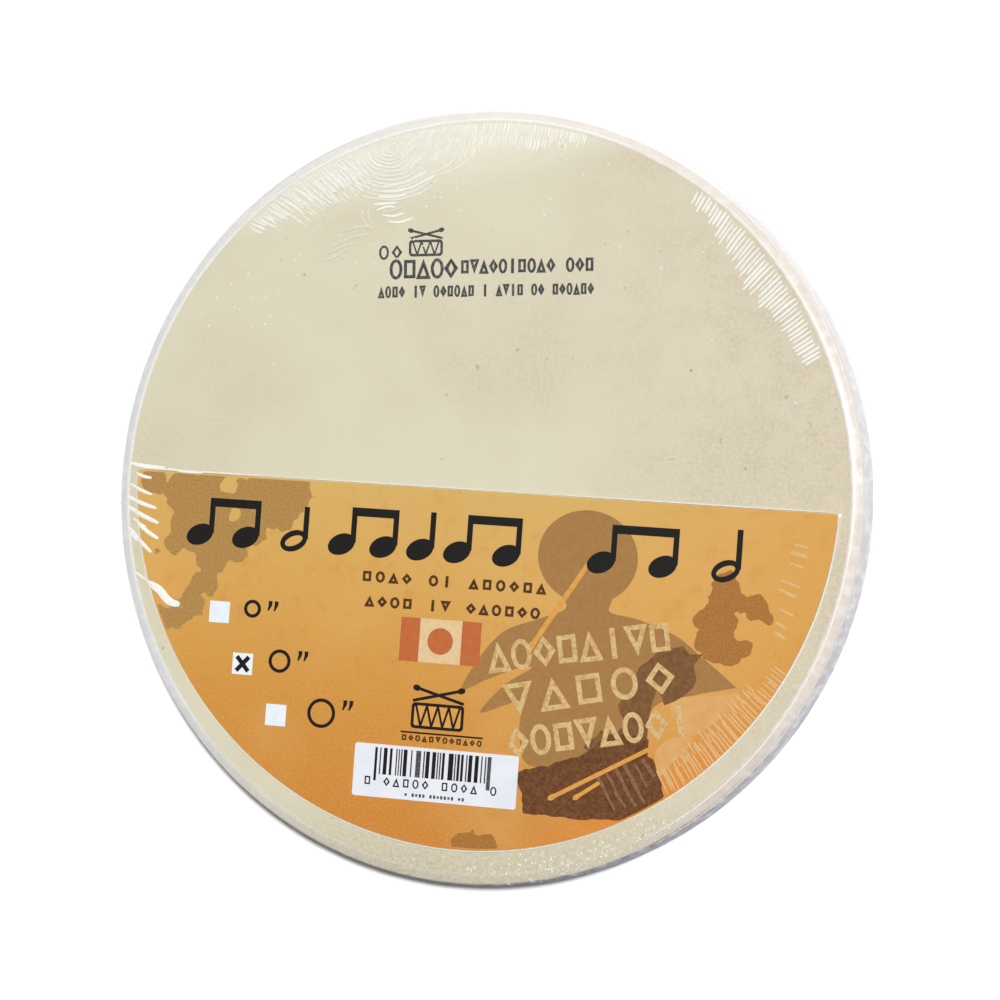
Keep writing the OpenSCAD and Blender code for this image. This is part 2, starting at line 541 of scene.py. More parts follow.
def spline(p0, p1, p2, p3, t):
    """Point at t from 0 to 1 on the smooth curve from p1 to p2, whose neighbours are p0 and p3."""
    return 0.5 * (2 * p1 + (p2 - p0) * t + (2 * p0 - 5 * p1 + 4 * p2 - p3) * t * t
                  + (3 * p1 - p0 - 3 * p2 + p3) * t ** 3)


def flowing(points):
    """A smooth closed outline through the points."""
    steps = 8
    loop = []
    for i in range(len(points)):
        around = [Vector(points[(i + k) % len(points)]) for k in (-1, 0, 1, 2)]
        loop += [spline(*around, k / steps).to_tuple() for k in range(steps)]
    return loop


def blot(field, low, high, cell):
    """Points and faces of the region where field(x, y) is above 0, on a grid of that cell."""
    nx = int((high[0] - low[0]) / cell) + 1
    ny = int((high[1] - low[1]) / cell) + 1
    value = [[field(low[0] + i * cell, low[1] + j * cell) for j in range(ny)] for i in range(nx)]
    points, index, faces = [], {}, []

    def corner(i, j):
        if (i, j) not in index:
            index[(i, j)] = len(points)
            points.append((low[0] + i * cell, low[1] + j * cell))
        return index[(i, j)]

    def crossing(a, b):
        key = (min(a, b), max(a, b))
        if key not in index:
            va, vb = value[a[0]][a[1]], value[b[0]][b[1]]
            t = min(max(va / (va - vb), 0.05), 0.95)
            index[key] = len(points)
            points.append((low[0] + (a[0] + (b[0] - a[0]) * t) * cell,
                           low[1] + (a[1] + (b[1] - a[1]) * t) * cell))
        return index[key]

    for i in range(nx - 1):
        for j in range(ny - 1):
            around = [(i, j), (i + 1, j), (i + 1, j + 1), (i, j + 1)]
            face = []
            for k in range(4):
                a, b = around[k], around[(k + 1) % 4]
                inside_a = value[a[0]][a[1]] > 0
                inside_b = value[b[0]][b[1]] > 0
                if inside_a:
                    face.append(corner(*a))
                if inside_a != inside_b:
                    face.append(crossing(a, b))
            if len(face) > 2:
                faces.append(tuple(face))
    return points, faces


class Print:
    """Shapes in one ink, thick enough to stand just proud of what they are printed on."""

    def __init__(self, name, material, slot, surface, rise, card=True):
        self.name, self.material, self.slot, self.card = name, material, slot, card
        self.z0, self.z1 = surface - 0.005, surface + rise
        self.points, self.faces = [], []

    def patch(self, points, faces, level=0):
        """Adds a flat patch. Shapes of one ink that overlap lie on levels of their own, so that no
        faces meet."""
        solid, closed = plate(points, faces, self.z0, self.z1 + 0.002 * level)
        first = len(self.points)
        self.points += solid
        self.faces += [tuple(i + first for i in face) for face in closed]

    def shape(self, outer, *holes, level=0):
        self.patch(*filled(outer, holes), level)

    def done(self):
        return piece(self.name, self.points, self.faces, self.material, self.slot, self.card)


def applied(obj):
    """The object with its modifiers worked into its mesh."""
    view = bpy.context.evaluated_depsgraph_get()
    mesh = bpy.data.meshes.new_from_object(obj.evaluated_get(view))
    obj.modifiers.clear()
    obj.data = mesh
    return obj


# ------------------------------------------------------------------ camera, lights and floor

def stage():
    scene = bpy.context.scene
    scene.view_settings.view_transform = "Standard"

    # The camera is this far from the point it looks at, and this far over from straight above
    aim = Vector((5.7, -1.0, FACE_Z)) * MM
    far = 869 * MM
    tilt = math.radians(16.5)
    toward = math.radians(-7.7)
    back = Vector((math.sin(tilt) * math.cos(toward), math.sin(tilt) * math.sin(toward), math.cos(tilt)))
    up = back.cross(Vector((1, 0, 0))).normalized()
    right = up.cross(back)
    camera = bpy.data.objects.new("camera", bpy.data.cameras.new("camera"))
    camera.data.lens = 120
    camera.data.sensor_width = 36
    camera.data.clip_start = 0.05
    facing = Matrix((right, up, back)).transposed().to_4x4()
    camera.matrix_world = Matrix.Translation(aim + back * far) @ facing
    scene.collection.objects.link(camera)
    scene.camera = camera

    room = bpy.data.worlds.new("room")
    room.use_nodes = True
    nodes, links = room.node_tree.nodes, room.node_tree.links
    # The room gets brighter upwards, up to a dark gap overhead, so that the face mirrors no light
    direction = nodes.new("ShaderNodeSeparateXYZ")
    strength = nodes.new("ShaderNodeValToRGB")
    links.new(nodes.new("ShaderNodeTexCoord").outputs["Generated"], direction.inputs[0])
    links.new(direction.outputs["Z"], strength.inputs[0])
    links.new(strength.outputs[0], nodes["Background"].inputs["Strength"])
    stops = strength.color_ramp.elements
    for place, level in ((0.0, 0.08), (0.84, 0.25), (0.93, 0.04)):
        stop = stops[0] if place == 0 else stops.new(place)
        stop.position = place
        stop.color = (level, level, level, 1)
    stops[-1].color = stops[-2].color
    nodes["Background"].inputs["Color"].default_value = (0.97, 0.98, 1.0, 1.0)
    scene.world = room

    # Each light is (name, direction that it comes from, strength, spread in degrees, colour)
    lights = (
        ("key_light", (0.31, 0.155, 0.938), 3.21, 5, (1.0, 0.985, 0.965)),
        ("fill_light", (0.10, 0.55, 0.83), 0.24, 30, (1.0, 0.98, 0.97)),
    )
    for name, source, strength, spread, colour in lights:
        lamp = bpy.data.lights.new(name, "SUN")
        lamp.energy = strength
        lamp.angle = math.radians(spread)
        lamp.color = colour
        obj = bpy.data.objects.new(name, lamp)
        obj.rotation_euler = Vector(source).to_track_quat("Z", "Y").to_euler()
        scene.collection.objects.link(obj)

    floor_size = 6.0    # metres
    mesh = bpy.data.meshes.new("floor")
    mesh.from_pydata([(x, y, 0) for x, y in block(0, 0, floor_size, floor_size)], [], [(0, 1, 2, 3)])
    floor = bpy.data.objects.new("floor", mesh)
    paper = Look("floor_paper", (0.93, 0.93, 0.93, 1.0), 0.9, Specular_IOR_Level=0.1,
                 Emission_Color=(1, 1, 1, 1), Emission_Strength=0.02)
    mesh.materials.append(paper.material)
    scene.collection.objects.link(floor)


stage()


# ------------------------------------------------------------------ pad: grip sheet, board, rubber

def soft_noise(x, y, z, size):
    """Smooth noise from about -1 to 1, whose waves are about size millimetres long."""
    return noise.noise(Vector((x, y, z)) / size)


def make_pad():
    turns = 288

    def edge_wear(radius, depth, size):
        """Small unevenness of a cut edge, in millimetres."""
        return lambda a, i: (depth * soft_noise(radius * math.cos(a), radius * math.sin(a), 9 * i, size), 0)

    rubber_path = rounded([
        (0, FACE_Z, 0),
        (RUBBER_R - BEVEL_W, FACE_Z, 1.6),
        (RUBBER_R - 0.05, FACE_Z - BEVEL_DROP, 0.9),
        (RUBBER_R - 0.05, RUBBER_LOW.z, 0.25),
        (0, RUBBER_LOW.z, 0)])
    rubber = piece("gum_rubber_disc", *lathe(rubber_path, turns, edge_wear(RUBBER_R, 0.05, 7)), GUM,
                   "gum_rubber", smooth=35)
    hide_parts("playing_rubber")

    board_path = rounded([
        (0, BOARD_HIGH.z, 0),
        (BOARD_R, BOARD_HIGH.z, 0.6),
        (BOARD_R, BOARD_LOW.z, 0.6),
        (0, BOARD_LOW.z, 0)])
    board = piece("board_disc", *lathe(board_path, turns), BOARD, "board", smooth=35)
    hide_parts("base_board")

    grip_path = rounded([
        (0, GRIP_HIGH.z, 0),
        (GRIP_R - 0.08, GRIP_HIGH.z, 0.15),
        (GRIP_R - 0.08, GRIP_LOW.z, 0.45),
        (0, GRIP_LOW.z, 0)])
    grip = piece("grip_disc", *lathe(grip_path, turns, edge_wear(GRIP_R, 0.07, 5)), GRIP, "grip", smooth=35)
    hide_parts("grip_sheet")

    for node in ("rubber_adhesive", "grip_adhesive"):
        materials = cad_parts[node].data.materials
        materials.clear()
        materials.append(ADHESIVE)


make_pad()


# ------------------------------------------------------------------ card and label

def card_outline(inset=0.0, steps=200):
    """Half moon of the card, anticlockwise, in the card's frame."""
    radius = CARD_R - inset
    edge = -CARD_CUT - inset
    start = math.asin(edge / radius)
    sweep = math.pi + 2 * start
    corner = 0.5
    loop = []
    for k in range(steps + 1):
        a = math.pi - start + sweep * k / steps
        loop.append((radius * math.cos(a), radius * math.sin(a)))
    loop[0] = (loop[0][0] + corner * 0.3, loop[0][1] - corner * 0.2)
    loop[-1] = (loop[-1][0] - corner * 0.3, loop[-1][1] - corner * 0.2)
    loop.append((loop[-1][0] - corner, edge))
    loop.append((loop[0][0] + corner, edge))
    return loop


def make_card():
    outline = card_outline(0.05)
    points, faces = filled(outline)
    solid, closed = plate(points, faces, CARD_LOW.z, CARD_HIGH.z)
    card = piece("half_moon_card", solid, closed, [CARD_FACE, CARD_CORE], "card", card=True)
    for polygon in card.data.polygons:
        polygon.material_index = 0 if polygon.normal.z > 0.5 else 1
    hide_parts("card_insert")

    outline = block(LABEL_X, LABEL_Y, LABEL_W - 0.1, LABEL_H - 0.1, 0.7)
    solid, closed = plate(*filled(outline), LABEL_LOW.z, LABEL_HIGH.z)
    label = piece("paper_label", solid, closed, LABEL_PAPER, "label", card=True)
    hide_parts("stock_label")


make_card()


# ------------------------------------------------------------------ print on the card

def inside_card(x, y, margin=0.7):
    """Distance in from the edge of the card, less a margin; above 0 on the card."""
    return min(CARD_R - math.hypot(x, y), -CARD_CUT - y) - margin


def symbol(kind, x, y, w, h, stroke, turn=0.0):
    """Outlines of one plain shape that stands in for a character: an outer loop and its holes. kind is
    o for a ring, s for a square, d for a diamond, t and v for triangles, and i for a bar."""
    rx, ry = w / 2, h / 2
    if kind == "o":
        loops = [ellipse(0, 0, rx, ry), ellipse(0, 0, rx - stroke, ry - stroke)]
    elif kind == "s":
        w, h = w * 0.9, h * 0.9
        loops = [block(0, 0, w, h), block(0, 0, w - 2 * stroke, h - 2 * stroke)]
    elif kind == "d":
        rx *= 1.1
        rim = 1.45 * stroke
        loops = [diamond(rx, ry), diamond(rx - rim, ry - rim)]
    elif kind in "tv":
        flip = 1 if kind == "t" else -1
        rx *= 1.15
        slant = math.hypot(rx, h)
        foot, peak = stroke * (slant + rx) / h, stroke * slant / rx
        low, high = (-ry + stroke) * flip, (ry - peak) * flip
        loops = [[(-rx, -ry * flip), (rx, -ry * flip), (0, ry * flip)],
                 [(-rx + foot, low), (rx - foot, low), (0, high)]]
    else:
        loops = [block(0, 0, stroke * 1.1, h)]
    c, s = math.cos(turn), math.sin(turn)
    return [[(x + u * c - v * s, y + u * s + v * c) for u, v in loop] for loop in loops]


def symbol_row(sheet, kinds, start, end, height, stroke, width=0.8):
    """A row of symbols from start to end, at their middles. A space in kinds leaves a gap."""
    a, b = Vector(start), Vector(end)
    turn = math.atan2(b.y - a.y, b.x - a.x)
    for k, kind in enumerate(kinds):
        if kind == " ":
            continue
        p = a.lerp(b, k / (len(kinds) - 1))
        sheet.shape(*symbol(kind, p.x, p.y, height * width, height, stroke, turn))


NOTE_RX = 3.9
NOTE_RY = 2.7
STEM_W = 1.5
STEM_OUT = NOTE_RX * 0.82   # from the middle of a note's head to its stem


def note(sheet, x, y, stem_top, hollow=False):
    """Note with its stem up: a tilted head, and the stem on the right of it."""
    turn = math.radians(24)
    head = [ellipse(x, y, NOTE_RX, NOTE_RY, turn)]
    if hollow:
        head.append(ellipse(x, y, NOTE_RX - 1.3, NOTE_RY - 1.5, turn))
    sheet.shape(*head)
    sheet.shape(block(x + STEM_OUT, (y + stem_top) / 2 + 0.3, STEM_W, stem_top - y - 0.6), level=1)


def beamed(sheet, x1, x2, y, top):
    """Two notes joined by a beam."""
    note(sheet, x1, y, top)
    note(sheet, x2, y, top)
    sheet.shape(block((x1 + x2) / 2 + STEM_OUT, top, x2 - x1 + STEM_W, 2.3), level=2)


def drum_mark(sheet, x, y, size, rim, zigzags, cord, stick_start, stick_end, tip):
    """A small drum with crossed sticks. size is its width and height, and rim the width of its edge.
    zigzags is how many cords go down and up, and cord is their (pitch, half height, width).
    The sticks' starts, ends and tips are given for the right-hand one, from the middle of the drum."""
    width, height = size
    sheet.shape(block(x, y, width, height, 1.0), block(x, y, width - 2 * rim, height - 2 * rim, 0.5))
    pitch, reach, line = cord
    for k in range(zigzags):
        left = x + pitch * (k - zigzags / 2)
        sheet.shape(bar(left, y + reach, left + pitch / 2, y - reach, line), level=1)
        sheet.shape(bar(left + pitch / 2, y - reach, left + pitch, y + reach, line), level=2)
    tip_x, tip_y, tip_rx, tip_ry, steps = tip
    for lean in (-1, 1):
        sheet.shape(bar(x + stick_start[0] * lean, y + stick_start[1], x + stick_end[0] * lean,
                        y + stick_end[1], stick_end[2]), level=2 + lean)
        sheet.shape(ellipse(x + tip_x * lean, y + tip_y, tip_rx, tip_ry, 0.25 * lean, steps), level=2)


# How far each ink stands above the card, in millimetres. Inks that overlap differ, so that no faces meet.
INK_RISES = {
    "splatter": 0.012, "splatter_rust": 0.0135, "figure": 0.018, "white": 0.020, "sand": 0.020,
    "peach": 0.0215, "amber": 0.022, "arm": 0.023, "red": 0.024, "shade": 0.025, "streaks": 0.027,
    "sticks": 0.028, "cream": 0.032, "black": 0.036, "text": 0.036}


def card_ink(name, material):
    """Print on the card in one ink."""
    return Print("print_" + name, material, "card", CARD_Z, INK_RISES[name])


BLOT_GRID = 0.6     # size of the grid on which the edges of blots are found


def make_splatter():
    def stains(sheet, blobs, low, high, rough, holes=()):
        """Adds blobs with holes, each an (x, y, radius), whose edges are broken up by noise. They lie
        between the corners low and high."""
        def field(x, y):
            wave = soft_noise(x, y, 3, 6.5) + 1.1 * soft_noise(x, y, 8, 2.4)
            wave += 0.6 * soft_noise(x, y, 5, 1.1)
            into = max(r - math.hypot(x - bx, y - by) for bx, by, r in blobs) + wave * rough
            out = min((math.hypot(x - bx, y - by) - r for bx, by, r in holes), default=99) + wave * 0.8
            return min(into, out, inside_card(x, y, 0.5))
        sheet.patch(*blot(field, low, high, BLOT_GRID))

    splatter = card_ink("splatter", INK_BROWN)
    rust = card_ink("splatter_rust", INK_RUST)
    stains(
        splatter,
        ((-90, -4.5, 4), (-82, -7, 6), (-75, -8, 7), (-67, -10, 7), (-58, -8, 8), (-50, -6, 5),
         (-53, -12, 4), (-78, -16, 7), (-70, -17, 6.5), (-62, -15, 5), (-66, -22, 3), (-72.5, -24.5, 5), (-74, -31, 4),
         (-77, -37, 4), (-82, -40.5, 3.5), (-86, -42, 3.5), (-84, -22, 2.5), (-88, -24, 1.5)),
        (-97, -52), (-42, -2), 1.0,
        ((-91, -14, 5), (-69.5, -4.6, 2.3), (-67, -12.5, 1.2), (-85.5, -29.5, 5.5), (-90, -32, 4)))
    stains(
        rust,
        ((68, -22.5, 4), (67.5, -27, 4), (67, -32, 5), (66, -37, 5), (70, -39, 3.5), (74, -38, 2.2),
         (76, -27, 3.4), (79, -29.5, 2), (61.5, -31, 2), (72.5, -26.5, 2.5)),
        (54, -47), (86, -17), 0.8, ((73.5, -33, 2.4),))
    stains(rust, ((4, -94.5, 4.5), (9, -94, 3)), (-6, -95), (16, -86), 0.8)
    splatter.done()
    rust.done()


def make_figure():
    """A drummer with two sticks, as a plain flat shape with no face, and the drum that they lean over."""
    figure = card_ink("figure", INK_FIGURE)
    body = flowing([
        (25, -27), (26, -31), (18, -34.5), (10, -38), (4, -45), (-0.5, -54), (6, -51), (14, -47.5),
        (18, -47), (11, -52), (5, -59.5), (12, -57), (16, -56), (16, -64), (19, -72), (32, -71),
        (46, -69), (49.5, -62), (51, -55), (56, -52), (64, -49.6), (65, -43.6), (57, -36.5), (46, -32.5),
        (38, -31), (38, -27), (31, -24)])
    figure.shape(body)
    figure.shape(ellipse(31, -17.3, 13.4, 12.1, math.radians(-8), 72), level=1)
    figure.shape([(61, -39.5), (66.5, -43.2), (72.6, -47.9), (61, -50.6)], level=2)
    figure.done()

    # The dark arm
    arm = card_ink("arm", INK_SHADE)
    arm.shape([
        (57.8, -38.2), (59.6, -40.2), (63.2, -40), (61, -43), (62, -46.6), (61.2, -48.8), (59, -51),
        (56.6, -52.6), (54, -53.8), (52.9, -51.2), (51.9, -49.9), (50.9, -52.8), (50.2, -57.4),
        (50.1, -66.4), (36, -67.6), (33.4, -66.4), (34.4, -64.6), (36.8, -63.2), (37.8, -61.4),
        (39.6, -62.6), (42.4, -61.4), (44, -59), (42.6, -56.8), (41.8, -54.6), (43.4, -52.2),
        (46.2, -50.4), (45.6, -47.2), (46.8, -44.4), (49.2, -42.6), (51.4, -40.2), (54.4, -39.4)])
    arm.done()

    # The drum's shaded side, with streaks of light
    shade = card_ink("shade", INK_DARK)

    def drum(x, y):
        wave = 0.8 * soft_noise(x, y, 2, 5) + 0.5 * soft_noise(x, y, 6, 1.8)
        top = min(-62.5 - y, (x - 33) * 0.9 - (y + 68.5)) if x > 33 else -68.5 + (x - 33) * 0.34 - y
        sides = min(x - 17.2 + (y + 79) * 0.25, 55.6 - x - 0.36 * (y + 77.6))
        return min(min(top, sides, y + 84.6) + wave, 50.6 - x if y > -67.5 else 99, inside_card(x, y, 0.5))

    shade.patch(*blot(drum, (14, -87), (60, -60), BLOT_GRID))
    shade.done()

    streaks = card_ink("streaks", INK_STREAK)
    draw = random.Random(12)
    for row in range(3):
        for k in range(6 - row):
            x, y = 38.5 + 2.5 * k + 1.6 * row, -74.6 - 2.6 * row + 0.9 * k
            reach = draw.uniform(0.9, 1.9)
            drop = reach * draw.uniform(1.1, 1.7)
            if inside_card(x + reach, y - drop, 0.8) > 0:
                streaks.shape(bar(x - reach, y + drop, x + reach, y - drop, draw.uniform(0.5, 1.1)),
                              level=2 * row + k % 2)
    streaks.done()

    peach = card_ink("peach", INK_PEACH)
    peach.shape(flowing([
        (55.5, -53.6), (61, -51.1), (68, -50.2), (73.4, -49.2), (72, -53), (66.5, -58), (60.5, -61)]))
    peach.shape(flowing([
        (52.6, -66), (56.5, -62), (62, -61.4), (60.5, -65), (56.5, -69), (53.8, -72)]), level=1)
    peach.done()

    sticks = card_ink("sticks", INK_STICK)
    for ax, ay, bx, by, width in (
            (17.5, -41.5, 31, -19.5, 1.35), (26, -79.8, 50.4, -65.6, 1.1), (32.5, -79.2, 38, -75.2, 1.0)):
        sticks.shape(bar(ax, ay, bx, by, width))
        turn = math.atan2(by - ay, bx - ax)
        sticks.shape(ellipse(ax, ay, width * 1.13, width * 0.67, turn), level=1)
        sticks.shape(ellipse(bx, by, width / 2, width / 2, turn, 16), level=1)
    sticks.done()


def make_card_print():
    make_splatter()
    make_figure()

    # A rhythm across the top of the card
    black = card_ink("black", INK_BLACK)
    base = -18.4
    beamed(black, -76.5, -63.5, base, -9.6)
    note(black, -49.8, base, -9.2, hollow=True)
    beamed(black, -36.4, -24.8, base, -9.6)
    note(black, -14.6, base, -8.4)
    beamed(black, -4.4, 9.0, base, -9.6)
    beamed(black, 34.6, 51.0, base, -9.6)
    note(black, 67.6, base, -7.6, hollow=True)

    # Three sizes of pad, each with a box, and a cross in the middle box
    white = card_ink("white", INK_WHITE)
    box_size = 5.7
    stroke = 0.9
    inch_mark = ((-0.55, 0), (-0.5, -1.2), (-0.75, -2.6), (-0.35, -2.6), (0.45, -1.2), (0.55, 0))
    sizes = ((-69.3, -38.7, -60.0, 2.4), (-61.7, -52.0, -51.3, 3.1), (-51.3, -64.8, -38.6, 3.9))
    for box_x, y, ring_x, radius in sizes:
        white.shape(block(box_x, y, box_size, box_size))
        ring_y = y + 1.5
        hole = radius - stroke
        black.shape(ellipse(ring_x, ring_y, radius, radius), ellipse(ring_x, ring_y, hole, hole))
        for side in (0, 1.7):
            mark_x, mark_y = ring_x + radius + 2.6 + side, ring_y + radius
            black.shape([(mark_x + u, mark_y + v) for u, v in inch_mark])
    box_x, y = sizes[1][:2]
    for lean in (-1, 1):
        black.shape(bar(box_x - 1.7, y - 1.9 * lean, box_x + 1.7, y + 1.9 * lean, 1.2), level=1 + lean)
    white.done()

    # Two small lines of marks
    text = card_ink("text", INK_TEXT)
    symbol_row(text, "sotd oi tsodst", (-28.6, -26.3), (19.2, -26.3), 3.0, 0.72, 0.86)
    symbol_row(text, "tdos iv dtosdo", (-27.4, -32.8), (18.0, -32.8), 3.0, 0.72, 0.86)

    # Banner of three bands with a disc
    red = card_ink("red", INK_RED)
    sand = card_ink("sand", INK_SAND)
    banner_x, banner_y, banner_h = -7.2, -42.0, 11.5
    sand.shape(block(banner_x, banner_y, 11.6, banner_h))
    for x in (-15.6, 1.2):
        red.shape(block(x, banner_y, 5.3, banner_h))
    red.shape(ellipse(banner_x, banner_y, 3.5, 3.5))
    sand.done()
    red.done()

    # Small drum with crossed sticks, over a line of marks
    amber = card_ink("amber", INK_STICK)
    amber.shape(block(-6.5, -61.7, 13.0, 5.4, 0.6))
    amber.done()
    drum_mark(black, -6.5, -61.7, (14.4, 6.8), 0.8, 4, (3.0, 2.7, 0.6), (-7.0, 3.8), (5.6, 7.1, 0.8),
              (6.1, 7.2, 1.1, 0.8, 20))
    black.shape(block(-5.0, -66.25, 22.5, 0.45))
    symbol_row(text, "sdotsvodstdo", (-15.2, -67.7), (5.4, -67.7), 1.7, 0.42)
    text.done()
    black.done()

    # Three rising lines of plain shapes
    cream = card_ink("cream", INK_CREAM)
    symbol_row(cream, "todstivs", (9.0, -44.8), (51.6, -36.6), 8.0, 1.25, 0.7)
    symbol_row(cream, "vtsod", (15.2, -55.2), (52.4, -47.0), 8.4, 1.3, 0.85)
    symbol_row(cream, "dosvtodi", (15.8, -66.5), (58.4, -57.6), 8.0, 1.3, 0.7)
    cream.done()


make_card_print()


def make_label_print():
    """Made-up bars and marks."""
    marks = Print("print_label", INK_BLACK, "label", LABEL_Z, 0.02)
    grey = Print("print_label_grey", INK_GREY, "label", LABEL_Z, 0.016)
    top, bottom, guard = -70.9, -77.9, -79.6
    start, end = -22.8, 9.8
    modules = 95
    unit = (end - start) / modules
    x = start
    draw = random.Random(41)
    while x < end - 2 * unit:
        thick = unit * draw.choice((1, 1, 1, 2, 2, 3, 4))
        space = unit * draw.choice((1, 1, 2, 2, 3))
        wide = min(thick, end - x)
        edge = x < start + 3 * unit or x > end - 6 * unit or abs(x - (start + end) / 2) < 1.4 * unit
        low = guard if edge else bottom
        black = draw.random() < 0.75
        (marks if black else grey).shape(block(x + wide / 2, (top + low) / 2, wide, top - low))
        x += thick + space
    for k in range(14):
        if k in (1, 7, 12):
            continue
        marks.shape(*symbol("sodt"[k % 4], -24.4 + 2.66 * k, -79.7, 1.7, 2.4, 0.38))
    for k in range(17):
        if k in (1, 6, 14):
            continue
        grey.shape(block(-13.6 + 0.98 * k, -82.6, 0.62, 0.9 if k % 3 else 0.65))
    marks.done()
    grey.done()


make_label_print()


def make_face_print():
    """Print on the rubber: a small drum with sticks, and two lines of marks."""
    grey = Print("print_face", INK_GREY, "gum_rubber", FACE_Z, 0.03, card=False)
    drum_mark(grey, -15.4, 65.4, (9.4, 4.4), 0.7, 3, (2.4, 1.7, 0.45), (-4.6, 2.5), (3.8, 4.6, 0.6),
              (4.2, 4.7, 0.85, 0.6, 16))
    symbol_row(grey, "od", (-27.0, 64.4), (-23.4, 64.4), 3.8, 0.6, 0.72)
    symbol_row(grey, "ostod", (-23.6, 59.9), (-8.4, 59.9), 5.4, 0.85, 0.66)
    symbol_row(grey, "svtdoisotd ods", (-4.6, 60.2), (29.2, 60.2), 3.9, 0.72, 0.6)
    symbol_row(grey, "tosd iv odsots i tvis od sdotsd", (-27.6, 53.9), (29.6, 53.9), 3.2, 0.6, 0.52)
    grey.done()


make_face_print()


# ------------------------------------------------------------------ shrink film

FILM_T = 0.06           # thickness of the film
FILM_REST = 0.16        # outside of the film, above what it lies on
CARD_RISE = CARD_HIGH.z - CARD_LOW.z
LABEL_RISE = LABEL_HIGH.z - LABEL_LOW.z
TENT = 1.0              # how far the film slopes down beside the card and the label
WRAP_R = WRAP_HIGH.x - 0.05
FACE_RUN = 99           # the card and the label lift the film no further out than this
SIDE_RUN = 100          # beyond this the film is uneven in the way that its side is
SEAM_R = BACK_HIGH.x
SEAM_W = 1.8
SEAM_Z = BACK_HIGH.z + 0.1

# Outside of the film, from the middle of the face, over the rim and down to the seam underneath
film_corners = [
    (0, FACE_Z + FILM_REST, 0),
    (RUBBER_R - BEVEL_W + 0.1, FACE_Z + FILM_REST, 1.9),
    (WRAP_R - 0.15, FACE_Z - BEVEL_DROP + 0.1, 1.3),
    (WRAP_R, BOARD_HIGH.z, 3.0),
    (WRAP_R, BOARD_LOW.z, 1.4),
    (SEAM_R, SEAM_Z + 0.1, 1.2),
    (SEAM_R - SEAM_W, SEAM_Z, 0)]
film_path = np.array(rounded(film_corners, 6))
film_run = np.concatenate([[0], np.cumsum(np.hypot(*np.diff(film_path, axis=0).T))])
FILM_END = film_run[-1]


def slope(t):
    """Smooth step from 0 to 1."""
    t = min(max(t, 0.0), 1.0)
    return t * t * (3 - 2 * t)


def card_gap(x, y):
    """Distance out from the edge of the card, in the pad's frame; below 0 on the card."""
    u, v = pad_to_card(x, y)
    return max(math.hypot(u, v) - CARD_R, v + CARD_CUT)


def label_gap(x, y):
    """Distance out from the edge of the label; below 0 on the label."""
    u, v = pad_to_card(x, y)
    return max(abs(u - LABEL_X) - LABEL_W / 2, abs(v - LABEL_Y) - LABEL_H / 2)


def film_point(x, y):
    """Point on the outside of the film. x, y is where it would lie if the film were rolled out flat."""
    run = math.hypot(x, y)
    r = float(np.interp(run, film_run, film_path[:, 0]))
    z = float(np.interp(run, film_run, film_path[:, 1]))
    share = r / run if run > 1e-6 else 1.0
    px, py = x * share, y * share
    if z > FACE_Z - 0.5 and run < FACE_RUN:
        z += CARD_RISE * slope(1 - card_gap(px, py) / TENT)
        z += LABEL_RISE * slope(1 - label_gap(px, py) / TENT)
    side = slope((run - SIDE_RUN) / 3) * slope((FILM_END - run) / 3)
    dent = 0.06 * side * (soft_noise(px, py, z * 0.35, 5.5) - 0.6)
    top = slope((101 - run) / 6)
    z += 0.035 * top * soft_noise(px, py, 1, 11) + 0.02 * top * soft_noise(px, py, 4, 4)
    reach = math.hypot(px, py) or 1.0
    return Vector((px * (1 + dent / reach), py * (1 + dent / reach), z))


def film_normal(x, y):
    """Direction straight out of the film."""
    step = 0.15
    ax = film_point(x + step, y) - film_point(x - step, y)
    ay = film_point(x, y + step) - film_point(x, y - step)
    return ax.cross(ay).normalized()


def face_points(edge_r):
    """Where the film over the face has its points: close together beside the card and the label."""
    spots = []
    for offset in (-0.3, 0.05, 0.35, 0.65, 1.0, 1.6):
        loop = card_outline(-offset, 260)[:-2]
        spots += loop
        left, right = loop[0][0], loop[-1][0]
        count = 200
        spots += [(left + (right - left) * (k + 0.5) / count, -CARD_CUT + offset) for k in range(count)]
        w, h = LABEL_W / 2 + offset, LABEL_H / 2 + offset
        long_side, short_side = 40, 13
        for k in range(long_side):
            u = w - 2 * w * k / long_side
            spots += [(LABEL_X - u, LABEL_Y - h), (LABEL_X + u, LABEL_Y + h)]
        for k in range(short_side):
            v = h - 2 * h * k / short_side
            spots += [(LABEL_X + w, LABEL_Y - v), (LABEL_X - w, LABEL_Y + v)]
    spots = [card_to_pad(*p) for p in spots]
    spots = [p for p in spots if math.hypot(*p) < edge_r - 0.5]
    r = edge_r - 1.4
    shift = 0.0
    while r > 3:
        step = 1.6 if r > 82 else 3.2
        count = int(2 * math.pi * r / (step * 1.15))
        shift += 0.5
        for k in range(count):
            a = 2 * math.pi * (k + shift) / count
            x, y = r * math.cos(a), r * math.sin(a)
            if not -0.8 < card_gap(x, y) < 2.2 and not -0.8 < label_gap(x, y) < 2.2:
                spots.append((x, y))
        r -= step
    return spots + [(0.0, 0.0)]


def polar(degrees, run):
    a = math.radians(degrees)
    return run * math.cos(a), run * math.sin(a)


